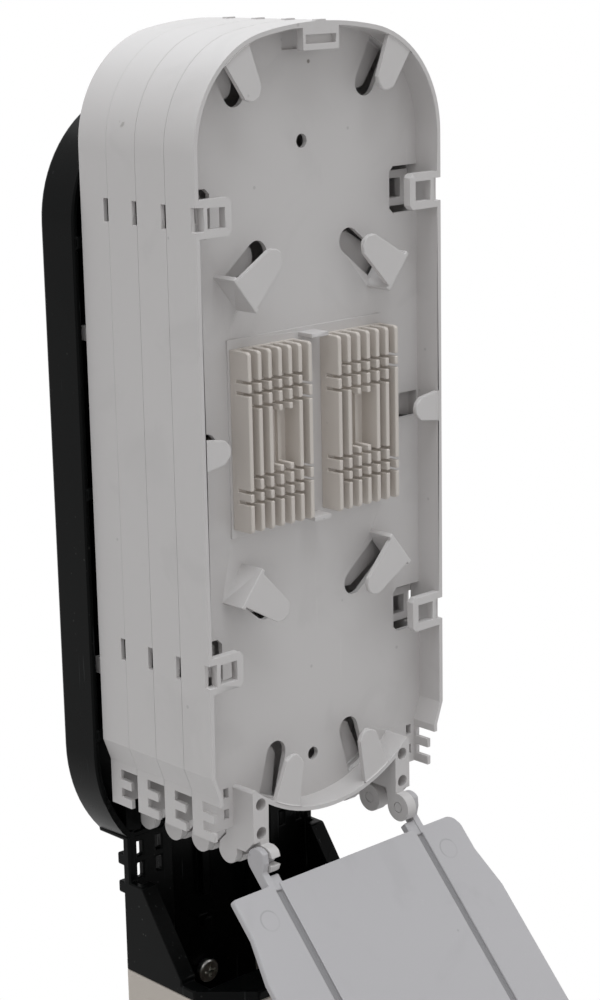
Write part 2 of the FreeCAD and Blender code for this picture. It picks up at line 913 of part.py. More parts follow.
def base_head():
    """One light grey moulding: socket, spigot, flange and ports."""
    across = (-port_offset_x, port_offset_x)
    ports = [port(x, y) for x in across for y in (-port_offset_y, port_offset_y)]
    looped_port = bevelled_block(looped_half_width, looped_half_depth, looped_corner, 0, flange_top)
    return join(dome_seat() + [socket(), looped_port] + ports)


def sealing_ring():
    """The rubber seal in its groove round the spigot."""
    low = flange_top - seal_height - seal_clearance
    high = low + seal_height
    inside = spigot(seal_clearance, low - past, high + past)
    return spigot(seal_clearance + seal_width, low, high).cut(inside)


def save(name, shape):
    shape.exportStep(os.path.join("parts", name + ".step"))


def place(shape, depth):
    """A piece drawn from the rim plane and hinge axis, put where it is in the closure."""
    placed = shape.copy()
    placed.translate(to_row + vector(0, depth, 0))
    return placed


os.makedirs("parts", exist_ok=True)
one_tray = tray()
left_holder = splice_holder()
right_holder = turned_holder()
for number in range(1, tray_count + 1):
    depth = (tray_count - number) * tray_pitch
    save(f"tray_{number}", place(one_tray, depth))
    save(f"splice_holder_{number}_left", place(left_holder, depth))
    save(f"splice_holder_{number}_right", place(right_holder, depth))
save("tray_lid", place(lid(), 0))
save("carrier", place(carrier(), 0))
save("carrier_screw", place(carrier_screw(), 0))
save("base_head", base_head())
save("sealing_ring", sealing_ring())
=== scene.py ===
# %% [markdown]
# # A fibre splice closure on the bench
# The closure stands with its dome taken off: four grey splice trays on a black carrier, with the
# front tray's lid swung open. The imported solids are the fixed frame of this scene. They could be
# shown as they are, but moulded plastic has soft edges and small holes, so each solid is copied,
# finished and then stands for the original.

# %% Load the frame
import json
import math

import bmesh
import bpy
from mathutils import Matrix, Vector


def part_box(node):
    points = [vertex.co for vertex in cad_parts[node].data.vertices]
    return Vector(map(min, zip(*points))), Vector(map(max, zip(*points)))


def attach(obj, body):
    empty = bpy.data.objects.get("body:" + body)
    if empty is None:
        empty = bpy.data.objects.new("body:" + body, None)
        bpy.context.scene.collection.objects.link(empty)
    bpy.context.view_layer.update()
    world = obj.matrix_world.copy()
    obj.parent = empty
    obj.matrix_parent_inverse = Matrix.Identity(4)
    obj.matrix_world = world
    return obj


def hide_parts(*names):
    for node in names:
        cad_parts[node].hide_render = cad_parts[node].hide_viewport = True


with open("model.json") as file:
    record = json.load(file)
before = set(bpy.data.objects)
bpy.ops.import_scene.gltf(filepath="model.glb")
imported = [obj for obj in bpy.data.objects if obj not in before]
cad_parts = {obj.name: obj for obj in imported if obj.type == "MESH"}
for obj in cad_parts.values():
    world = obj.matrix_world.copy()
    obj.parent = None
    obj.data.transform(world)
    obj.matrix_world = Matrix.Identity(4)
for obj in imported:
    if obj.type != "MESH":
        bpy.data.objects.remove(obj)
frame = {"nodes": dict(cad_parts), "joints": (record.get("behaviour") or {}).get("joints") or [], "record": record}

MM = 0.001
ALONG_X = Vector((1, 0, 0))
ALONG_Y = Vector((0, 1, 0))
ALONG_Z = Vector((0, 0, 1))
REAR_AXIS_FROM_RIM = 11.3 * MM
FLOOR_FRONT = 8.5 * MM
FLOOR_BACK = 10.0 * MM
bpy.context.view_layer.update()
JOINTS = {joint["name"]: joint for joint in frame["joints"]}
hinges = {name: Vector(joint["pos_m"]) for name, joint in JOINTS.items()}
RIM_CORNER = hinges["tray_4_hinge"] - REAR_AXIS_FROM_RIM * ALONG_Y


def put_in_scene(name, data):
    """A new object, linked to the scene's own collection."""
    made = bpy.data.objects.new(name, data)
    bpy.context.scene.collection.objects.link(made)
    return made


print("hinges:", sorted(hinges))

# %% [markdown]
# ## The camera
# The photograph was taken from the left and a little above. Its place was worked out from the
# straight edges of the front tray, so the camera is built from three directions: to the right, up
# and backwards. Writing them as the columns of a matrix is surer than turning the camera by hand.

# %% Camera
CAMERA_PLACE = Vector((-434.2, -490.0, 497.7)) * MM
CAMERA_AZIMUTH = math.radians(-42.89)
CAMERA_ELEVATION = math.radians(14.12)
CAMERA_ROLL = math.radians(-1.13)
SENSOR_HEIGHT = 36.0
LENS = 83.2
SEES_TO = 20.0

backwards = Vector((
    math.sin(CAMERA_AZIMUTH) * math.cos(CAMERA_ELEVATION),
    -math.cos(CAMERA_AZIMUTH) * math.cos(CAMERA_ELEVATION),
    math.sin(CAMERA_ELEVATION),
))
level_right = Vector((math.cos(CAMERA_AZIMUTH), math.sin(CAMERA_AZIMUTH), 0.0))
level_up = backwards.cross(level_right)
camera_right = level_right * math.cos(CAMERA_ROLL) + level_up * math.sin(CAMERA_ROLL)
camera_up = level_up * math.cos(CAMERA_ROLL) - level_right * math.sin(CAMERA_ROLL)
turn = Matrix((camera_right, camera_up, backwards)).transposed().to_4x4()

lens = bpy.data.cameras.new("photo_camera")
lens.sensor_fit = "VERTICAL"
lens.sensor_height = SENSOR_HEIGHT
lens.lens = LENS
lens.clip_end = SEES_TO
camera = put_in_scene("photo_camera", lens)
camera.matrix_world = Matrix.Translation(CAMERA_PLACE) @ turn
bpy.context.scene.camera = camera
bpy.context.scene.view_settings.view_transform = "Standard"
print("camera at", [round(value, 3) for value in CAMERA_PLACE])

# %% [markdown]
# ## Sums with shader sockets
# A finish is a sum of patterns: grain, smudges, scratches. Wiring Math nodes one by one hides that
# sum, so a small class wraps a socket and lets Python's own operators add the nodes.

# %% Shader sockets as values
class Wire:
    """A socket of a node tree that can be added, multiplied and mixed like a number."""

    def __init__(self, tree, socket):
        self.tree = tree
        self.socket = socket

    def node(self, kind, settings=None, sockets=None, output=0):
        """Adds one node: its settings first, then the values or links of its sockets."""
        made = self.tree.nodes.new(kind)
        for name, value in (settings or {}).items():
            setattr(made, name, value)
        for key, value in (sockets or {}).items():
            if isinstance(value, Wire):
                self.tree.links.new(value.socket, made.inputs[key])
            else:
                made.inputs[key].default_value = value
        return Wire(self.tree, made.outputs[output])

    def math(self, operation, first, second=0.0):
        return self.node("ShaderNodeMath", {"operation": operation}, {0: first, 1: second})

    def __add__(self, other):
        return self.math("ADD", self, other)

    __radd__ = __add__

    def __sub__(self, other):
        return self.math("SUBTRACT", self, other)

    def __rsub__(self, other):
        return self.math("SUBTRACT", other, self)

    def __mul__(self, other):
        return self.math("MULTIPLY", self, other)

    __rmul__ = __mul__

    def above(self, edge, soft):
        """0 below the edge and 1 above it, with a soft step between."""
        sockets = {"Value": self, "From Min": edge - soft, "From Max": edge + soft}
        return self.node("ShaderNodeMapRange", {"interpolation_type": "SMOOTHSTEP"}, sockets)

    def measured(self, operation, other):
        """One number from each place and a vector."""
        sockets = {0: self, 1: tuple(other)}
        return self.node("ShaderNodeVectorMath", {"operation": operation}, sockets, "Value")

    def from_point(self, point):
        """The distance of each place from a point."""
        return self.measured("DISTANCE", point)

    def along(self, direction):
        """How far each place lies along a direction."""
        return self.measured("DOT_PRODUCT", direction)

    def stretched(self, scale):
        return self.node("ShaderNodeMapping", {}, {"Vector": self, "Scale": scale})

    def noise(self, scale, detail=3.0, distortion=0.0):
        sockets = {"Vector": self, "Scale": scale, "Detail": detail, "Distortion": distortion}
        return self.node("ShaderNodeTexNoise", {}, sockets)

    def specks(self, scale):
        return self.node("ShaderNodeTexVoronoi", {}, {"Vector": self, "Scale": scale})

    def tint(self, first, second):
        """A colour between two others, with this wire as the share of the second."""
        sockets = {0: self, 6: first, 7: second}
        return self.node("ShaderNodeMix", {"data_type": "RGBA"}, sockets, output=2)


def paint(red, green, blue):
    """A colour given as it looks on screen, 0 to 255, as the linear values that shaders use."""
    values = [channel / 255 for channel in (red, green, blue)]
    linear = [v / 12.92 if v <= 0.04045 else ((v + 0.055) / 1.055) ** 2.4 for v in values]
    return (*linear, 1.0)


def shaded(base, factor):
    return (*(min(channel * factor, 1.0) for channel in base[:3]), 1.0)


def new_finish(name):
    """A fresh material: its shader and a wire that carries Object coordinates."""
    finish = bpy.data.materials.new(name)
    finish.use_nodes = True
    tree = finish.node_tree
    shader = tree.nodes["Principled BSDF"]
    place = Wire(tree, tree.nodes.new("ShaderNodeTexCoord").outputs["Object"])
    return finish, shader, place


def connect(shader, colour, roughness, height, strength, depth):
    """Connects a finish: its colour, its roughness and the height pattern that tilts it."""
    bump = {"Strength": strength, "Distance": depth, "Height": height}
    wires = {
        "Base Color": colour,
        "Roughness": roughness,
        "Normal": height.node("ShaderNodeBump", {}, bump),
    }
    for socket, wire in wires.items():
        wire.tree.links.new(wire.socket, shader.inputs[socket])


print("shader helper ready")

# %% [markdown]
# ## Moulded plastic
# Trays, lid, holders and base are moulded in a spark-eroded tool, which leaves a fine matte grain.
# Handling adds faint smudges, hairline scratches and a few dark specks. One recipe makes all of
# them, with its own colour and strengths for each piece; the lid's colour is set darker as painted shade.

# %% Matte plastics
GRAIN_SCALE = 2300.0
MOTTLE_SCALE = 16.0
SMUDGE_SCALE = 42.0
SCRATCH_STRETCH = (520.0, 520.0, 26.0)
SPECK_SCALE = 70.0
MOTTLE_SHADES = (0.965, 1.03)
SMUDGE_SHADE = 0.86
SCRATCH_SHADE, SCRATCH_SHARE = 1.12, 0.22
SPECK_SHADE, SPECK_SHARE = 0.45, 0.35
MATTE_BUMP = 0.30


def plastic_layers(place, base, smudge_share):
    """Colour, roughness and height of a handled matte plastic, as three wires."""
    mottle = place.noise(MOTTLE_SCALE, detail=4.0)
    smudge = place.noise(SMUDGE_SCALE, detail=6.0, distortion=0.8).above(edge=0.62, soft=0.08)
    scratch = place.stretched(SCRATCH_STRETCH).noise(1.0, detail=2.0).above(edge=0.74, soft=0.02)
    speck = 1 - place.specks(SPECK_SCALE).above(edge=0.035, soft=0.012)
    grain = place.noise(GRAIN_SCALE, detail=2.0)
    colour = mottle.tint(*(shaded(base, shade) for shade in MOTTLE_SHADES))
    colour = (smudge * smudge_share).tint(colour, shaded(base, SMUDGE_SHADE))
    colour = (scratch * SCRATCH_SHARE).tint(colour, shaded(base, SCRATCH_SHADE))
    colour = (speck * SPECK_SHARE).tint(colour, shaded(base, SPECK_SHADE))
    rough = 0.10 * mottle - 0.07 * smudge + 0.05 * grain
    return colour, rough, grain + 0.4 * scratch + 0.3 * mottle


def matte_plastic(name, base, roughness, smudge_share, grain_depth):
    finish, shader, place = new_finish(name)
    colour, rough, height = plastic_layers(place, base, smudge_share)
    connect(shader, colour, roughness + rough, height, MATTE_BUMP, grain_depth)
    return finish


holder_recipe = {"roughness": 0.55, "smudge_share": 0.26, "grain_depth": 0.08 * MM}
base_recipe = {"roughness": 0.50, "smudge_share": 0.30, "grain_depth": 0.10 * MM}
finishes = {
    "holder": matte_plastic("holder_plastic", paint(208, 201, 194), **holder_recipe),
    "base": matte_plastic("base_plastic", paint(196, 188, 179), **base_recipe),
}
print("matte finishes:", sorted(finishes))

# %% [markdown]
# ## Marks of use, and painted shade on the lid
# The trays and the lid carry marks at known places: a tick and a scuff on the trays, and the rings
# that the mould's ejector pins left on the lid. The lid's rings are also darkened as painted shade,
# and its two grooves carry painted shade. Each mark is a distance from a point, or from a line,
# turned into a soft mask, so it needs no painted picture.

# %% Tray and lid plastics
LID_OPENING = math.radians(max(abs(limit) for limit in JOINTS["lid_hinge"]["range_deg"]))
lid_swing = Matrix.Rotation(LID_OPENING, 3, "X")
RING_SPOTS = ((-36.8 * MM, 17.0 * MM), (35.5 * MM, 17.0 * MM))
RING_RADIUS = 3.0 * MM
RING_WIDTH = 0.22 * MM
# Painted shade on the ejector rings: full towards the lit side, faint elsewhere, and how dark.
RING_LIT_SIDE = Vector((-0.55, 0.0, -0.83))
RING_FAINT = 0.35
RING_PAINTED_SHADE, RING_SHADE_SHARE = 0.55, 0.42
RING_RELIEF = 2.0
GROOVE_X = 28.5 * MM
GROOVE_HALF = 1.15 * MM
GROOVE_START = 9.6 * MM
# Painted shade on the floor of the lid's grooves: how dark it is, and its share.
GROOVE_PAINTED_SHADE, GROOVE_SHADE_SHARE = 0.5, 0.8
TICK_SPOT = Vector((3.1 * MM, FLOOR_FRONT, 220.1 * MM))
TICK_SIZE = 0.75 * MM
TICK_SHARE = 0.75
SCUFF_SPOT = Vector((-45.6 * MM, 30.0 * MM, 206.0 * MM))
SCUFF_SIZE = 1.6 * MM
SCUFF_SCALE = 900.0
SCUFF_SHARE = 0.45
MARK_COLOUR = paint(92, 84, 74)


def spot(place, point, size):
    """1 at a point, falling softly to 0 at a distance from it."""
    return 1 - place.from_point(point).above(edge=0.7 * size, soft=0.3 * size)


def tray_plastic(base):
    finish, shader, place = new_finish("tray_plastic")
    colour, rough, height = plastic_layers(place, base, smudge_share=0.30)
    tick = spot(place, RIM_CORNER + TICK_SPOT, TICK_SIZE)
    worn = place.noise(SCUFF_SCALE).above(edge=0.52, soft=0.06)
    scuff = spot(place, RIM_CORNER + SCUFF_SPOT, SCUFF_SIZE) * worn
    colour = (TICK_SHARE * tick + SCUFF_SHARE * scuff).tint(colour, MARK_COLOUR)
    connect(shader, colour, 0.46 + rough, height, MATTE_BUMP, depth=0.06 * MM)
    return finish


def ejector_rings(place):
    """The rings of two ejector pins, as a mask for their relief and their painted shade, stronger on the side
    where light falls across them.
    """
    lit_side = lid_swing @ RING_LIT_SIDE
    rings = []
    for x, run in RING_SPOTS:
        middle = hinges["lid_hinge"] + lid_swing @ Vector((x, 0.0, run))
        gap = place.from_point(middle)
        inner = gap.above(RING_RADIUS - RING_WIDTH, RING_WIDTH)
        outer = gap.above(RING_RADIUS + RING_WIDTH, RING_WIDTH)
        on_lit_side = (place.along(lit_side) - middle.dot(lit_side)).above(edge=0.0, soft=1.0 * MM)
        rings.append((inner - outer) * (RING_FAINT + (1 - RING_FAINT) * on_lit_side))
    return rings[0] + rings[1]


def groove_shade(place):
    """Painted shade in the lid's two grooves, which start a little way from its hinge."""
    direction = lid_swing @ ALONG_Z
    run = place.along(direction) - hinges["lid_hinge"].dot(direction)
    across = place.along(ALONG_X)
    off_groove = across.math("ABSOLUTE", across.math("ABSOLUTE", across) - GROOVE_X)
    in_groove = 1 - off_groove.above(GROOVE_HALF, soft=0.08 * MM)
    return run.above(GROOVE_START, soft=0.5 * MM) * in_groove


def lid_plastic(base):
    finish, shader, place = new_finish("lid_plastic")
    colour, rough, height = plastic_layers(place, base, smudge_share=0.34)
    rings, dust_and_shade = ejector_rings(place), groove_shade(place)
    # Painted shade: the floor of each groove is darkened, as a shadow would darken it.
    colour = (GROOVE_SHADE_SHARE * dust_and_shade).tint(colour, shaded(base, GROOVE_PAINTED_SHADE))
    # Painted shade: the ejector rings are darkened, most on the side where light falls across their relief.
    colour = (RING_SHADE_SHARE * rings).tint(colour, shaded(base, RING_PAINTED_SHADE))
    roughness = 0.44 + rough + 0.1 * dust_and_shade
    connect(shader, colour, roughness, height - RING_RELIEF * rings, MATTE_BUMP, depth=0.05 * MM)
    return finish


finishes["tray"] = tray_plastic(paint(203, 200, 199))
# The lid's colour is the trays' plastic set darker: painted shade for the light that reaches the lid less.
finishes["lid"] = lid_plastic(paint(182, 180, 182))
print("marked finishes: tray and lid")

# %% [markdown]
# ## Black carrier, rubber seal and zinc screw
# The carrier is polished black plastic, so its look is all in the gloss: a low roughness that
# changes a little from place to place, hairline scratches and a film of dust. The seal is dull
# rubber, and the screw is bright zinc with turning marks.

# %% Glossy plastic, rubber and zinc
CLOUD_SCALE = 22.0
DUST_SCALE = 340.0
GLOSS_SCRATCH_STRETCH = (700.0, 700.0, 30.0)
GLOSS_SPECULAR = 0.05
BLOOM_SCALE, RUBBER_GRAIN_SCALE = 60.0, 1500.0
TURNING_STRETCH = (1400.0, 90.0, 1400.0)
STAIN_SCALE = 700.0


def glossy_black(name):
    finish, shader, place = new_finish(name)
    cloud = place.noise(CLOUD_SCALE, detail=5.0, distortion=0.6)
    dust_and_shade = 1 - place.specks(DUST_SCALE).above(edge=0.10, soft=0.03)
    dust_and_shade = dust_and_shade * cloud.above(edge=0.55, soft=0.1)
    scratch = place.stretched(GLOSS_SCRATCH_STRETCH).noise(1.0, detail=2.0)
    scratch = scratch.above(edge=0.72, soft=0.02)
    colour = cloud.tint(paint(6, 7, 7), paint(12, 13, 13))
    colour = (dust_and_shade * 0.30).tint(colour, paint(96, 96, 94))
    colour = (scratch * 0.30).tint(colour, paint(70, 72, 73))
    roughness = 0.20 + 0.16 * cloud + 0.18 * scratch
    shader.inputs["Specular IOR Level"].default_value = GLOSS_SPECULAR
    height = cloud + 0.2 * scratch
    connect(shader, colour, roughness, height, strength=0.16, depth=0.15 * MM)
    return finish


def dull_rubber(name):
    finish, shader, place = new_finish(name)
    bloom = place.noise(BLOOM_SCALE, detail=5.0)
    colour = bloom.tint(paint(34, 34, 35), paint(58, 57, 56))
    grain = place.noise(RUBBER_GRAIN_SCALE, detail=2.0)
    connect(shader, colour, 0.70 + 0.15 * bloom, grain, strength=0.25, depth=0.08 * MM)
    return finish


def bright_zinc(name):
    finish, shader, place = new_finish(name)
    turning = place.stretched(TURNING_STRETCH).noise(1.0)
    stain = place.noise(STAIN_SCALE, detail=4.0)
    colour = stain.tint(paint(196, 197, 196), paint(224, 222, 214))
    shader.inputs["Metallic"].default_value = 1.0
    connect(shader, colour, 0.22 + 0.20 * turning, turning, strength=0.20, depth=0.04 * MM)
    return finish


finishes["carrier"] = glossy_black("carrier_gloss")
finishes["seal"] = dull_rubber("seal_rubber")
finishes["screw"] = bright_zinc("screw_zinc")
print("all finishes:", sorted(finishes))

# %% [markdown]
# ## From solid to finished moulding
# A solid from CAD is a skin of loose triangles with knife-sharp edges. Merging its points closes
# the skin, and a Bevel modifier then rounds its sharp edges, which is what lets plastic catch the
# light along its rims. The bevel follows a weight on each edge, so some edges can be rounder than
# others and some stay crisp. It also marks its own faces as weak, and the Weighted Normal modifier
# then shades every flat face as flat, right up to its soft edge.

# %% Copying and finishing
MERGE_DISTANCE = 1e-6
CREASE_ANGLE = math.radians(14.0)
BEVEL_ANGLE = math.radians(30.0)
bodies = frame["record"]["behaviour"]["bodies"]
node_body = {node: body for body, members in bodies.items() for node in members}
node_slot = {part["node"]: part["material_slot"] for part in frame["record"]["subparts"]}


def copy_solid(node):
    """A merged working copy of a CAD solid."""
    work = bmesh.new()
    work.from_mesh(frame["nodes"][node].data)
    bmesh.ops.remove_doubles(work, verts=work.verts, dist=MERGE_DISTANCE)
    return work


def evenly(edge):
    return 1.0


def crisp_round(point, axis, radius):
    """A softness that leaves all within a radius of one axis crisp."""
    def softness(edge):
        gaps = [(vertex.co - point).cross(axis).length for vertex in edge.verts]
        return 0.0 if max(gaps) < radius else 1.0
    return softness


def stand_in(work, node, soft_edge, softness=evenly):
    """Turns a working copy into the finished piece that stands for a CAD node, and frees it."""
    weight = work.edges.layers.float.new("bevel_weight_edge")
    work.normal_update()
    for face in work.faces:
        face.smooth = True
    for edge in work.edges:
        turn = edge.calc_face_angle() if edge.is_manifold else 0.0
        edge.smooth = turn < CREASE_ANGLE
        edge[weight] = softness(edge) if turn > BEVEL_ANGLE else 0.0
    mesh = bpy.data.meshes.new(node + "_moulding")
    work.to_mesh(mesh)
    work.free()
    mesh.materials.append(finishes[node_slot[node]])
    piece = put_in_scene(mesh.name, mesh)
    bevel = piece.modifiers.new("soft_edges", "BEVEL")
    bevel.width = soft_edge
    bevel.segments = 2
    bevel.limit_method = "WEIGHT"
    bevel.use_clamp_overlap = False
    bevel.face_strength_mode = "FSTR_ALL"
    shading = piece.modifiers.new("even_shading", "WEIGHTED_NORMAL")
    shading.keep_sharp = True
    shading.use_face_influence = True
    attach(piece, node_body[node])
    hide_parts(node)
    print(node, "has", len(mesh.polygons), "faces")


print("nodes to finish:", len(node_slot))

# %% [markdown]
# ## Cutting and rounding
# Holes are cut with the Boolean modifier, because no bmesh operator drills. Rounding a corner with
# bmesh's bevel needs whole faces beside it, because it would tear a fan of triangles. So the
# triangles of those flat faces are joined first, and only where a face has no hole in it.

# %% Cutting and rounding helpers
PAST = 1.0 * MM
NEAR = 0.01 * MM
FLAT_ANGLE = math.radians(0.5)
SQUARE_TURN = (80, 100)
FACING = 0.9999
ALIGNED = 0.999
SIDEWAYS = 0.01


def combined(work, cutter, operation="DIFFERENCE"):
    """One closed mesh cut from another, or added to it, as a new mesh. Both are freed."""
    placed = []
    for title, source in (("cut_body", work), ("cut_tool", cutter)):
        mesh = bpy.data.meshes.new(title)
        source.to_mesh(mesh)
        source.free()
        placed.append(put_in_scene(title, mesh))
    body, tool = placed
    boolean = body.modifiers.new("cut", "BOOLEAN")
    boolean.operation = operation
    boolean.solver = "EXACT"
    boolean.object = tool
    bpy.context.view_layer.update()
    cut = body.evaluated_get(bpy.context.evaluated_depsgraph_get())
    result = bmesh.new()
    result.from_mesh(cut.to_mesh())
    cut.to_mesh_clear()
    bmesh.ops.remove_doubles(result, verts=result.verts, dist=MERGE_DISTANCE)
    bmesh.ops.dissolve_degenerate(result, edges=result.edges, dist=MERGE_DISTANCE)
    for thing in placed:
        mesh = thing.data
        bpy.data.objects.remove(thing)
        bpy.data.meshes.remove(mesh)
    return result


def add_rod(work, start, end, radius, sides=32):
    """A round rod between two points."""
    run = end - start
    turn = run.to_track_quat("Z", "Y").to_matrix().to_4x4()
    placed = Matrix.Translation((start + end) / 2) @ turn
    sizes = {"radius1": radius, "radius2": radius, "depth": run.length}
    bmesh.ops.create_cone(work, cap_ends=True, segments=sides, matrix=placed, **sizes)


def add_block(work, low, high):
    """A square block between two corners."""
    middle = (Vector(low) + Vector(high)) / 2
    size = Vector(high) - Vector(low)
    placed = Matrix.Translation(middle) @ Matrix.Diagonal((*size, 1.0))
    bmesh.ops.create_cube(work, size=1.0, matrix=placed)


def flatten(work, direction, places=None):
    """Joins the triangles of the flat faces that face along a direction, all or at some places."""
    joined = []
    for edge in work.edges:
        if not edge.is_manifold or edge.calc_face_angle() > FLAT_ANGLE:
            continue
        at = edge.verts[0].co.dot(direction)
        facing = abs(edge.link_faces[0].normal.dot(direction)) > FACING
        if facing and (places is None or any(abs(at - place) < NEAR for place in places)):
            joined.append(edge)
    bmesh.ops.dissolve_edges(work, edges=joined, use_verts=True)


def flatten_all(work):
    """Joins the triangles of every square face, for a piece whose faces have no holes."""
    for direction in (ALONG_X, ALONG_Y, ALONG_Z):
        flatten(work, direction)


def join_flats(work):
    """Joins all flat faces, whatever way they face. Only the base and the screw stand this."""
    limits = {"angle_limit": FLAT_ANGLE, "use_dissolve_boundaries": False}
    bmesh.ops.dissolve_limit(work, verts=work.verts, edges=work.edges, **limits)
    return work


def edges_along(work, axis, turn, wanted):
    """The wanted edges along an axis that turn by an angle between two limits, in degrees."""
    found = []
    for edge in work.edges:
        start, end = (vertex.co for vertex in edge.verts)
        if not edge.is_manifold or abs((end - start).normalized().dot(axis)) < ALIGNED:
            continue
        if turn[0] < math.degrees(edge.calc_face_angle()) < turn[1] and wanted(start, end):
            found.append(edge)
    return found


def round_off(work, edges, width, segments):
    """Rounds corners that are far larger than the soft edges of the mould."""
    bmesh.ops.bevel(
        work, geom=edges, offset=width, offset_type="OFFSET", segments=segments,
        profile=0.5, affect="EDGES", clamp_overlap=True, material=-1,
    )
    return len(edges)


print("helpers ready")

# %% [markdown]
# ## Trays
# All four trays are one moulding, so one copy is finished and the others are the same mesh moved
# back by the tray pitch. The fingers' tips, the slots below them and the hinge lugs are blunt in
# CAD and round on the object. A slot's end is found by its short flat, and a round rod cuts it.
# The right-hand lug is a closed ring, and the left-hand one keeps its open mouth. The window under
# the top catch is pale in the photograph, so a thin web closes it. Holes in the floor stay crisp,
# and so do the outer edges of trays 2 to 4, which lie tight against the next one.

# %% Drilled trays
TRAY_NUMBERS = (4, 3, 2, 1)
FINGER_FACES = (0.2 * MM, 1.6 * MM)
TIP_TURN = (36, 54)
TIP_ROUNDING = 1.3 * MM
SLOT_FLAT = 2.8 * MM
SLOT_SHOULDER = 2.2 * MM
SLOT_HALF = 3.66 * MM
LUG_FACES = (25.6 * MM, 28.9 * MM)
LUG_TURN = (35, 55)
LUG_RADIUS = 4.28 * MM
RING_PROUD = 0.05 * MM
LUG_CORNER = 4.6 * MM
LUG_ROUNDING = 1.2 * MM
BORE_RADIUS = 1.65 * MM
BLOCK_HOLE_X = 28.4 * MM
BLOCK_HOLE_HEIGHTS = (16.1 * MM, 7.5 * MM)
BLOCK_HOLE_RADIUS = 1.85 * MM
BLOCK_HOLE_DEPTH = 5.0 * MM
FLOOR_HOLE_HEIGHTS = (198.9 * MM, 21.7 * MM)
FLOOR_HOLE_RADIUS = 1.95 * MM
TIE_HOLE_X = {-1: 33.9 * MM, 1: 39.8 * MM}
TIE_HOLE_HEIGHTS = (18.7 * MM, 12.4 * MM)
TIE_HOLE_HALF = Vector((1.0 * MM, 0.0, 1.5 * MM))
WINDOW_LOW = Vector((-7.0, 9.4, 223.2)) * MM
WINDOW_HIGH = Vector((7.0, 9.8, 229.0)) * MM
TRAY_EDGE = 0.4 * MM
RIM_SOFTNESS = 0.35
tray_box = [Vector(corner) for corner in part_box("tray_4")]
through_floor = ((FLOOR_FRONT - PAST) * ALONG_Y, (FLOOR_BACK + PAST) * ALONG_Y)


def round_lugs(work, hinge):
    """Rounds the corners of the blunt lugs on one hinge axis."""
    def close(start, end):
        return (start - hinge).yz.length < LUG_CORNER

    flatten(work, ALONG_X, [side * face for side in (-1, 1) for face in LUG_FACES])
    corners = edges_along(work, ALONG_X, LUG_TURN, close)
    return round_off(work, corners, LUG_ROUNDING, segments=3)


def close_ring(work, hinge):
    """Fills the mouth of the right-hand lug and bores it again, so that it is a closed ring."""
    proud = (LUG_FACES[0] - RING_PROUD, LUG_FACES[1] + RING_PROUD)
    ends = [Vector((x, hinge.y, hinge.z)) for x in proud]
    ring, bore = bmesh.new(), bmesh.new()
    add_rod(ring, *ends, LUG_RADIUS, sides=48)
    add_rod(bore, ends[0] - PAST * ALONG_X, ends[1] + PAST * ALONG_X, BORE_RADIUS)
    return combined(combined(work, ring, "UNION"), bore)


def slot_ends(work):
    """Where each finger slot ends in the floor, and the direction back into the slot."""
    found = []
    depth = RIM_CORNER.y + FLOOR_FRONT
    for edge in work.edges:
        start, end = (vertex.co for vertex in edge.verts)
        level = abs(start.y - depth) < NEAR and abs(end.y - depth) < NEAR
        if not level or abs((end - start).length - SLOT_FLAT) > NEAR:
            continue
        for face in edge.link_faces:
            if abs(face.normal.y) < SIDEWAYS:
                found.append(((start + end) / 2, face.normal.copy()))
    return found


def drill_bits(work):
    """All that is cut from a tray: block holes, floor holes, tie holes and round slot ends."""
    drill = bmesh.new()
    for side in (-1, 1):
        for height in BLOCK_HOLE_HEIGHTS:
            mouth = RIM_CORNER + Vector((side * BLOCK_HOLE_X, -PAST, height))
            add_rod(drill, mouth, mouth + (PAST + BLOCK_HOLE_DEPTH) * ALONG_Y, BLOCK_HOLE_RADIUS)
        for height in TIE_HOLE_HEIGHTS:
            middle = RIM_CORNER + Vector((side * TIE_HOLE_X[side], 0.0, height))
            front, back = (middle + step for step in through_floor)
            add_block(drill, front - TIE_HOLE_HALF, back + TIE_HOLE_HALF)
    for height in FLOOR_HOLE_HEIGHTS:
        front, back = (RIM_CORNER + height * ALONG_Z + step for step in through_floor)
        add_rod(drill, front, back, FLOOR_HOLE_RADIUS)
    ends = slot_ends(work)
    for place, inward in ends:
        middle = place + SLOT_SHOULDER * inward - FLOOR_FRONT * ALONG_Y
        front, back = (middle + step for step in through_floor)
        add_rod(drill, front, back, SLOT_HALF)
    print("slot ends rounded:", len(ends))
    return drill


def through_finger(start, end):
    """True for an edge that runs from a finger's front to its back."""
    depths = sorted(place.y - RIM_CORNER.y for place in (start, end))
    return all(abs(depth - face) < NEAR for depth, face in zip(depths, FINGER_FACES))


def finished_tray():
    work = copy_solid("tray_4")
    drill = drill_bits(work)
    flatten(work, ALONG_Y, [RIM_CORNER.y + face for face in FINGER_FACES])
    tips = edges_along(work, ALONG_Y, TIP_TURN, through_finger)
    print("finger corners rounded:", round_off(work, tips, TIP_ROUNDING, segments=3))
    print("lug corners rounded:", round_lugs(work, hinges["lid_hinge"]))
    web = bmesh.new()
    add_block(web, RIM_CORNER + WINDOW_LOW, RIM_CORNER + WINDOW_HIGH)
    closed = combined(work, web, "UNION")
    return close_ring(combined(closed, drill), hinges["lid_hinge"])


def faces_out(face):
    """True for a face on the outside of a tray's walls."""
    out = face.calc_center_median() - (tray_box[0] + tray_box[1]) / 2
    upright = abs(face.normal.y) < SIDEWAYS
    return upright and face.normal.x * out.x + face.normal.z * out.z > 0


def on_axis(place, joint):
    """True on a hinge's pin or in its bore."""
    return (place - hinges[joint]).yz.length < BORE_RADIUS + 2 * NEAR


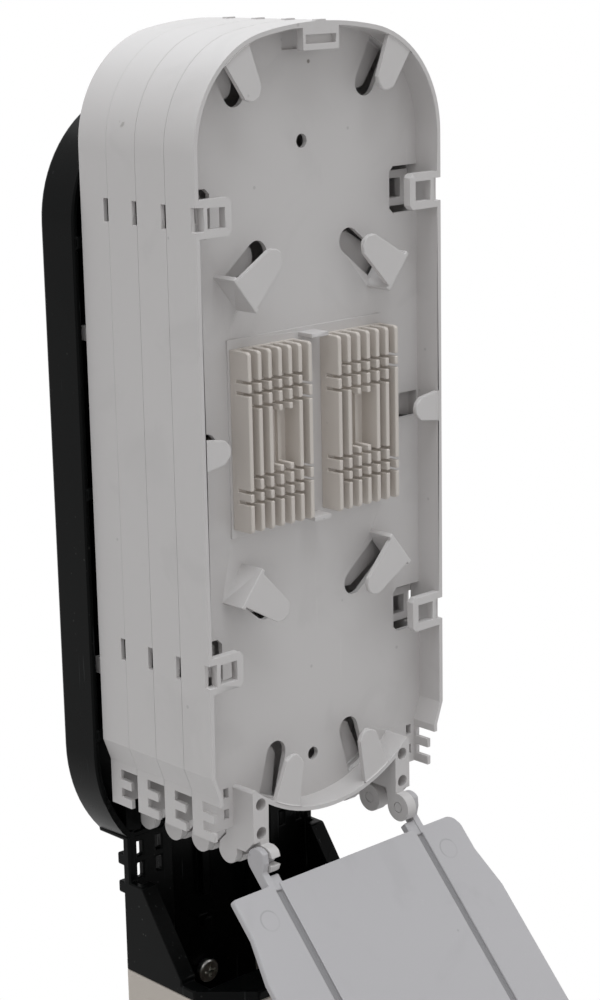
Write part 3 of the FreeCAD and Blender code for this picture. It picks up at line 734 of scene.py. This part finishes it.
def in_bore(place):
    """True on the closed lug, on a pin or in a bore, and at the edge of a block's hole."""
    if place.x > 0 and (place - hinges["lid_hinge"]).yz.length < LUG_RADIUS + NEAR:
        return True
    if on_axis(place, "lid_hinge") or on_axis(place, "tray_4_hinge"):
        return True
    across = abs(place.x) - BLOCK_HOLE_X
    drops = [place.z - RIM_CORNER.z - height for height in BLOCK_HOLE_HEIGHTS]
    return any(math.hypot(across, drop) < BLOCK_HOLE_RADIUS + NEAR for drop in drops)


def tray_softness(edge, shift, tight):
    """How round an edge of a tray is: fingers most, holes and tight seams not at all."""
    places = [vertex.co - shift for vertex in edge.verts]
    depths = [place.y - RIM_CORNER.y for place in places]
    if all(min(abs(depth - FLOOR_FRONT), abs(depth - FLOOR_BACK)) < NEAR for depth in depths):
        return 0.0
    if all(in_bore(place) for place in places):
        return 0.0
    if all(abs(depth - FINGER_FACES[0]) < NEAR for depth in depths):
        return 1.0
    level = abs(depths[0] - depths[1]) < NEAR
    if tight and level and any(faces_out(face) for face in edge.link_faces):
        return 0.0
    return RIM_SOFTNESS


def moved_back(work, number):
    """A copy of a mesh of the front tray at another tray's place, and how far it moved."""
    shift = hinges[f"tray_{number}_hinge"] - hinges["tray_4_hinge"]
    copy = work.copy()
    bmesh.ops.translate(copy, verts=copy.verts, vec=shift)
    return copy, shift


tray_work = finished_tray()
for number in TRAY_NUMBERS:
    copy, shift = moved_back(tray_work, number)
    tight = number > 1
    stand_in(copy, f"tray_{number}", TRAY_EDGE, lambda edge: tray_softness(edge, shift, tight))
tray_work.free()

# %% [markdown]
# ## Pin ends
# Seen from the middle of a tray, each closed lug shows the round end of the pin inside it. The
# pin's CAD solid has two flats and ends a little way in, so a short round end is added on each
# pin. It is a new piece, and it moves with its pin.

# %% Pin ends
PIN_RADIUS = 1.45 * MM
PIN_END = (25.62 * MM, 26.2 * MM)
pin_bodies = {f"tray_{number}_hinge": f"tray_{number}" for number in reversed(TRAY_NUMBERS)}
pin_bodies["lid_hinge"] = "lid"

for joint, body in pin_bodies.items():
    work = bmesh.new()
    for side in (-1, 1):
        ends = [Vector((side * x, hinges[joint].y, hinges[joint].z)) for x in PIN_END]
        add_rod(work, *ends, PIN_RADIUS)
    mesh = bpy.data.meshes.new(body + "_pin_ends")
    work.to_mesh(mesh)
    work.free()
    mesh.materials.append(finishes["tray"])
    pin_ends = put_in_scene(mesh.name, mesh)
    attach(pin_ends, body)
print("pin ends on", len(pin_bodies), "hinges")

# %% [markdown]
# ## Splice holders
# Each holder is a comb of seven fins, and every fin is slit several times near its ends so that it
# can flex round a splice sleeve. The solids have one slit at each end of a fin. The remaining thin
# slits are cut here, in the staggered pattern that the front tray shows. The fins are soft plastic
# with rounded ends and front edges.

# %% Slit holders
HOLDER_EDGE = 0.3 * MM
BACK_SOFTNESS = 0.3
FIN_END_ROUNDING = 1.1 * MM
FIN_PITCH = 3.74 * MM
FIN_THICKNESS = 1.3 * MM
SLIT_ROWS = {1: 8.0 * MM, 2: 11.2 * MM, 3: 15.0 * MM}
SLIT_WIDTH = 0.8 * MM
SLIT_DEPTH = 5.2 * MM
EXTRA_SLITS = ((2,), (1, 3), (2, 3), (1, 3), (2, 3), (2, 3), (3,))


def slit_holder(node, outward):
    """Rounds the fins' ends and cuts the slits, counting fins from the tray's side wall inwards."""
    low, high = (Vector(corner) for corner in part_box(node))

    def at_end(start, end):
        return start.y - low.y < NEAR and min(start.z - low.z, high.z - start.z) < NEAR

    work = copy_solid(node)
    flatten_all(work)
    fin_ends = edges_along(work, ALONG_X, SQUARE_TURN, at_end)
    round_off(work, fin_ends, FIN_END_ROUNDING, segments=4)
    outer = high.x if outward > 0 else low.x
    knife = bmesh.new()
    for index, rows in enumerate(EXTRA_SLITS):
        near = outer - outward * (index * FIN_PITCH - PAST / 4)
        far = near - outward * (FIN_THICKNESS + PAST / 2)
        for row in rows:
            for start in (low.z + SLIT_ROWS[row], high.z - SLIT_ROWS[row] - SLIT_WIDTH):
                front = (min(near, far), low.y - PAST, start)
                back = (max(near, far), low.y + SLIT_DEPTH, start + SLIT_WIDTH)
                add_block(knife, front, back)
    slit = combined(work, knife)
    flatten_all(slit)
    return slit


def holder_softness(edge, front):
    """Fins are soft in front and crisper where they stand on the tray."""
    in_front = any(vertex.co.y < front for vertex in edge.verts)
    return 1.0 if in_front else BACK_SOFTNESS


for side, outward in (("left", -1), ("right", 1)):
    holder_work = slit_holder(f"splice_holder_4_{side}", outward)
    for number in TRAY_NUMBERS:
        node = f"splice_holder_{number}_{side}"
        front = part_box(node)[0][1] + FIN_END_ROUNDING + NEAR
        copy = moved_back(holder_work, number)[0]
        stand_in(copy, node, HOLDER_EDGE, lambda edge: holder_softness(edge, front))
    holder_work.free()

# %% [markdown]
# ## Lid, carrier, base, seal and screw
# Most of these need only their soft edges. The lid's right hinge corner is rounded as the trays'
# fingers are, its left one is drawn out to a tip, and the carrier's lugs are rounded as the trays'
# lugs. The tie slots on the right of the neck show black in the photograph, so a thin web closes
# each of them. The screw gets the cross recess that its driver needs.

# %% The other pieces
LID_EDGE = 0.35 * MM
CARRIER_EDGE = 0.5 * MM
BASE_EDGE = 0.6 * MM
SCREW_EDGE = 0.7 * MM
LID_TURN = (40, 50)
LID_CORNER = 1.5 * MM
LID_TIP = 1.0 * MM
LID_PIN = 1.7 * MM
LUG_ARM = 10.0 * MM
NECK_SLOT_X = (25.2 * MM, 32.4 * MM)
NECK_SLOT_HEIGHTS = (-10.4 * MM, -17.4 * MM)
NECK_WEB_DEPTHS = (50.8 * MM, 51.9 * MM)
NECK_WEB_HALF = Vector((1.4 * MM, 0.0, 2.6 * MM))
CROSS_HALF = 2.1 * MM
CROSS_THIN = 0.5 * MM
CROSS_DEPTH = 1.4 * MM
SCREW_CORE = 2.4 * MM
screw_box = [Vector(corner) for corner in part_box("carrier_screw")]
screw_middle = (screw_box[0] + screw_box[1]) / 2


def finished_lid():
    """Rounds the right hinge corner and draws the left one out, as it is sharper in the photo."""
    hinge, through = hinges["lid_hinge"], lid_swing @ ALONG_Y
    work = copy_solid("tray_lid")
    flatten(work, through)
    corners = edges_along(work, through, LID_TURN, lambda start, end: start.x < 0)
    left = {vertex for edge in corners for vertex in edge.verts}
    shut = {vertex: lid_swing.transposed() @ (vertex.co - hinge) for vertex in left}
    x, run = (min(place[axis] for place in shut.values()) for axis in (0, 2))
    for vertex, place in shut.items():
        vertex.co = hinge + lid_swing @ Vector((x, place.y, run))
    tip = next(iter(left)).co.copy()
    bmesh.ops.remove_doubles(work, verts=list(left), dist=MERGE_DISTANCE)

    def at_tip(start, end):
        return min((start - tip).length, (end - tip).length) < NEAR

    tips = edges_along(work, through, SQUARE_TURN, at_tip)
    print("left lid corner rounded:", round_off(work, tips, LID_TIP, segments=4))
    corners = edges_along(work, through, LID_TURN, lambda start, end: start.x > 0)
    print("right lid corners rounded:", round_off(work, corners, LID_CORNER, segments=4))
    return work


def finished_carrier():
    """Rounds the carrier's lugs and closes the tie slots on the right of its neck."""
    work = copy_solid("carrier")
    print("carrier lug corners rounded:", round_lugs(work, hinges["tray_1_hinge"]))
    webs = bmesh.new()
    for x in NECK_SLOT_X:
        for height in NECK_SLOT_HEIGHTS:
            low, high = (RIM_CORNER + Vector((x, depth, height)) for depth in NECK_WEB_DEPTHS)
            add_block(webs, low - NECK_WEB_HALF, high + NECK_WEB_HALF)
    return combined(work, webs, "UNION")


def finished_screw():
    """Cuts the cross recess, one arm after the other."""
    work = copy_solid("carrier_screw")
    head = screw_box[0].y
    for half_x, half_z in ((CROSS_HALF, CROSS_THIN), (CROSS_THIN, CROSS_HALF)):
        blade = bmesh.new()
        front = (screw_middle.x - half_x, head - PAST, screw_middle.z - half_z)
        back = (screw_middle.x + half_x, head + CROSS_DEPTH, screw_middle.z + half_z)
        add_block(blade, front, back)
        work = combined(work, blade)
    return work


lid_pins = crisp_round(hinges["lid_hinge"], ALONG_X, LID_PIN)
carrier_lugs = crisp_round(hinges["tray_1_hinge"], ALONG_X, LUG_ARM)
screw_recess = crisp_round(screw_middle, ALONG_Y, SCREW_CORE)
stand_in(finished_lid(), "tray_lid", LID_EDGE, lid_pins)
stand_in(finished_carrier(), "carrier", CARRIER_EDGE, carrier_lugs)
stand_in(join_flats(copy_solid("base_head")), "base_head", BASE_EDGE)
stand_in(copy_solid("sealing_ring"), "sealing_ring", BASE_EDGE)
stand_in(join_flats(finished_screw()), "carrier_screw", SCREW_EDGE, screw_recess)

# %% [markdown]
# ## Floor and light
# The photograph has a white background and a large soft light above and in front. The floor is
# pale near the closure, where its shadow falls, and turns plain white for the camera further out.

# %% Stage and lamps
FLOOR_RADIUS = 3.0
FLOOR_COLOUR = (0.60, 0.60, 0.60, 1.0)
FLOOR_ROUGHNESS = 0.8
SHADOW_REACH = (0.16, 0.33)
WHITE = (1.0, 1.0, 1.0, 1.0)
AMBIENT = 0.57
DAYLIGHT = (0.93, 0.97, 1.0)
TRAYS_MIDDLE = (0.0, 0.0, 0.4)
HINGES_MIDDLE = (0.0, 0.0, 0.35)
SEEN_BY = ("Is Camera Ray", "Is Glossy Ray", "Is Transmission Ray")


def seen(tree):
    """1 where the camera looks, also by way of metal or glass, and 0 for light on the object."""
    path = tree.nodes.new("ShaderNodeLightPath")
    straight, mirrored, through = (Wire(tree, path.outputs[name]) for name in SEEN_BY)
    return straight + mirrored + through


ground = bmesh.new()
bmesh.ops.create_circle(ground, cap_ends=True, radius=FLOOR_RADIUS, segments=96)
floor_mesh = bpy.data.meshes.new("floor")
ground.to_mesh(floor_mesh)
ground.free()
floor = put_in_scene("floor", floor_mesh)

floor_finish, floor_shader, floor_place = new_finish("pale_floor")
floor_shader.inputs["Base Color"].default_value = FLOOR_COLOUR
floor_shader.inputs["Roughness"].default_value = FLOOR_ROUGHNESS
tree = floor_finish.node_tree
near_edge, far_edge = SHADOW_REACH
far = floor_place.from_point(Vector()).above((near_edge + far_edge) / 2, (far_edge - near_edge) / 2)
white = floor_place.node("ShaderNodeEmission", {}, {"Color": WHITE, "Strength": 1.0})
lit = Wire(tree, floor_shader.outputs[0])
blend = floor_place.node("ShaderNodeMixShader", {}, {0: far * seen(tree), 1: lit, 2: white})
tree.links.new(blend.socket, tree.nodes["Material Output"].inputs["Surface"])
floor_mesh.materials.append(floor_finish)

world = bpy.data.worlds.new("studio")
world.use_nodes = True
bpy.context.scene.world = world
sky = world.node_tree
looked_at = seen(sky)
levels = {0: looked_at, 2: AMBIENT, 3: 1.0}
strength = looked_at.node("ShaderNodeMix", {"data_type": "FLOAT"}, levels)
background = sky.nodes["Background"]
background.inputs["Color"].default_value = WHITE
sky.links.new(strength.socket, background.inputs["Strength"])


def softbox(name, place, aim, size, power):
    """A large soft lamp that faces a point."""
    lamp = bpy.data.lights.new(name, "AREA")
    lamp.shape = "RECTANGLE"
    lamp.size, lamp.size_y = size
    lamp.energy = power
    lamp.color = DAYLIGHT
    turn = (Vector(aim) - Vector(place)).to_track_quat("-Z", "Y").to_matrix().to_4x4()
    put_in_scene(name, lamp).matrix_world = Matrix.Translation(place) @ turn


softbox("overhead_rear", (0.15, 0.95, 1.85), TRAYS_MIDDLE, size=(1.2, 1.2), power=6.5)
softbox("overhead_front", (-0.2, -0.45, 2.1), TRAYS_MIDDLE, size=(1.2, 1.0), power=16.5)
softbox("left_side", (-1.6, -0.3, 1.1), HINGES_MIDDLE, size=(1.0, 1.2), power=0.3)
